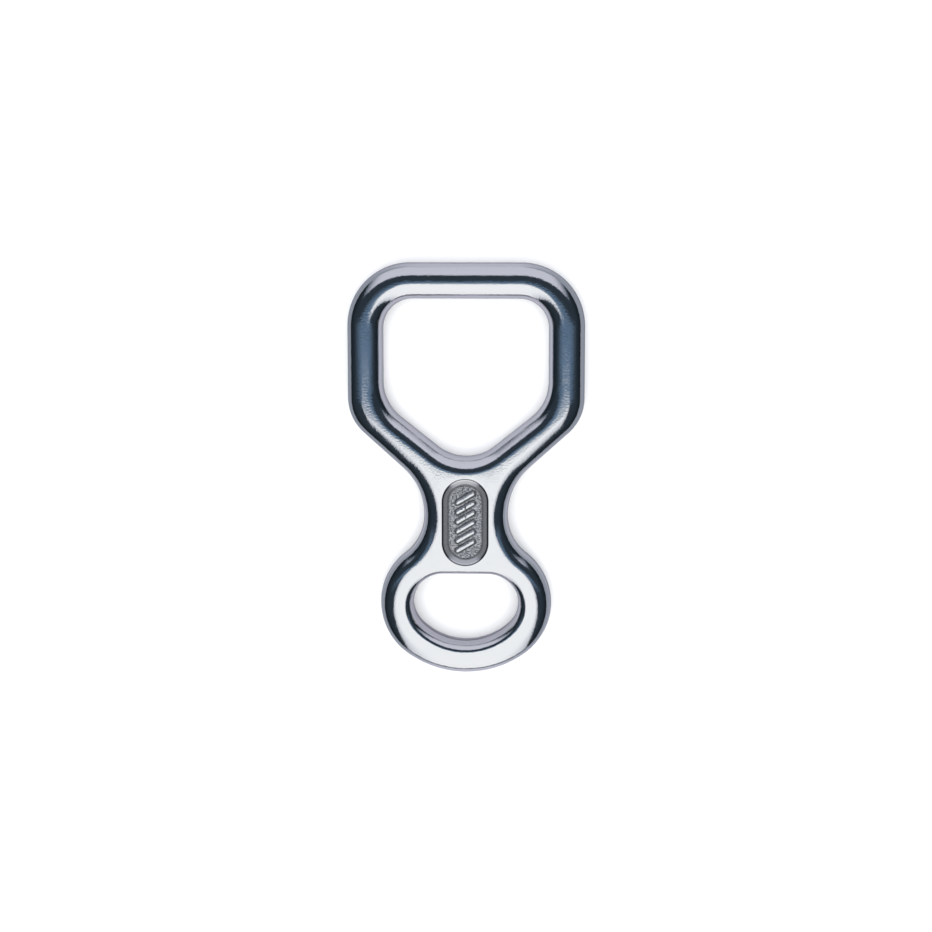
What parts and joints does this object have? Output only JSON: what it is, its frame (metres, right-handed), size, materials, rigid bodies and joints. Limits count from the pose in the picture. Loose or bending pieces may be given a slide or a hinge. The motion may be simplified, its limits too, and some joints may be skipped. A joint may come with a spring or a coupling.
{
  "type": "figure eight descender",
  "caption": "Squared figure eight descender: one polished aluminium forging with a large rope ring, a waist with a sunk marking panel and a small oval carabiner eye.",
  "frame": {"origin": "middle of the outline on the back face, the plane the part rests on", "axes": "+Z out of the marked front face, +Y from the small carabiner eye to the large rope ring, +X across the part"},
  "size_m": [0.0676, 0.118, 0.012],
  "materials": {
    "polished_aluminium": "tumbled and polished bare metal"
  },
  "bodies": {
    "root": {"descender_body": "polished_aluminium"}
  },
  "joints": []
}
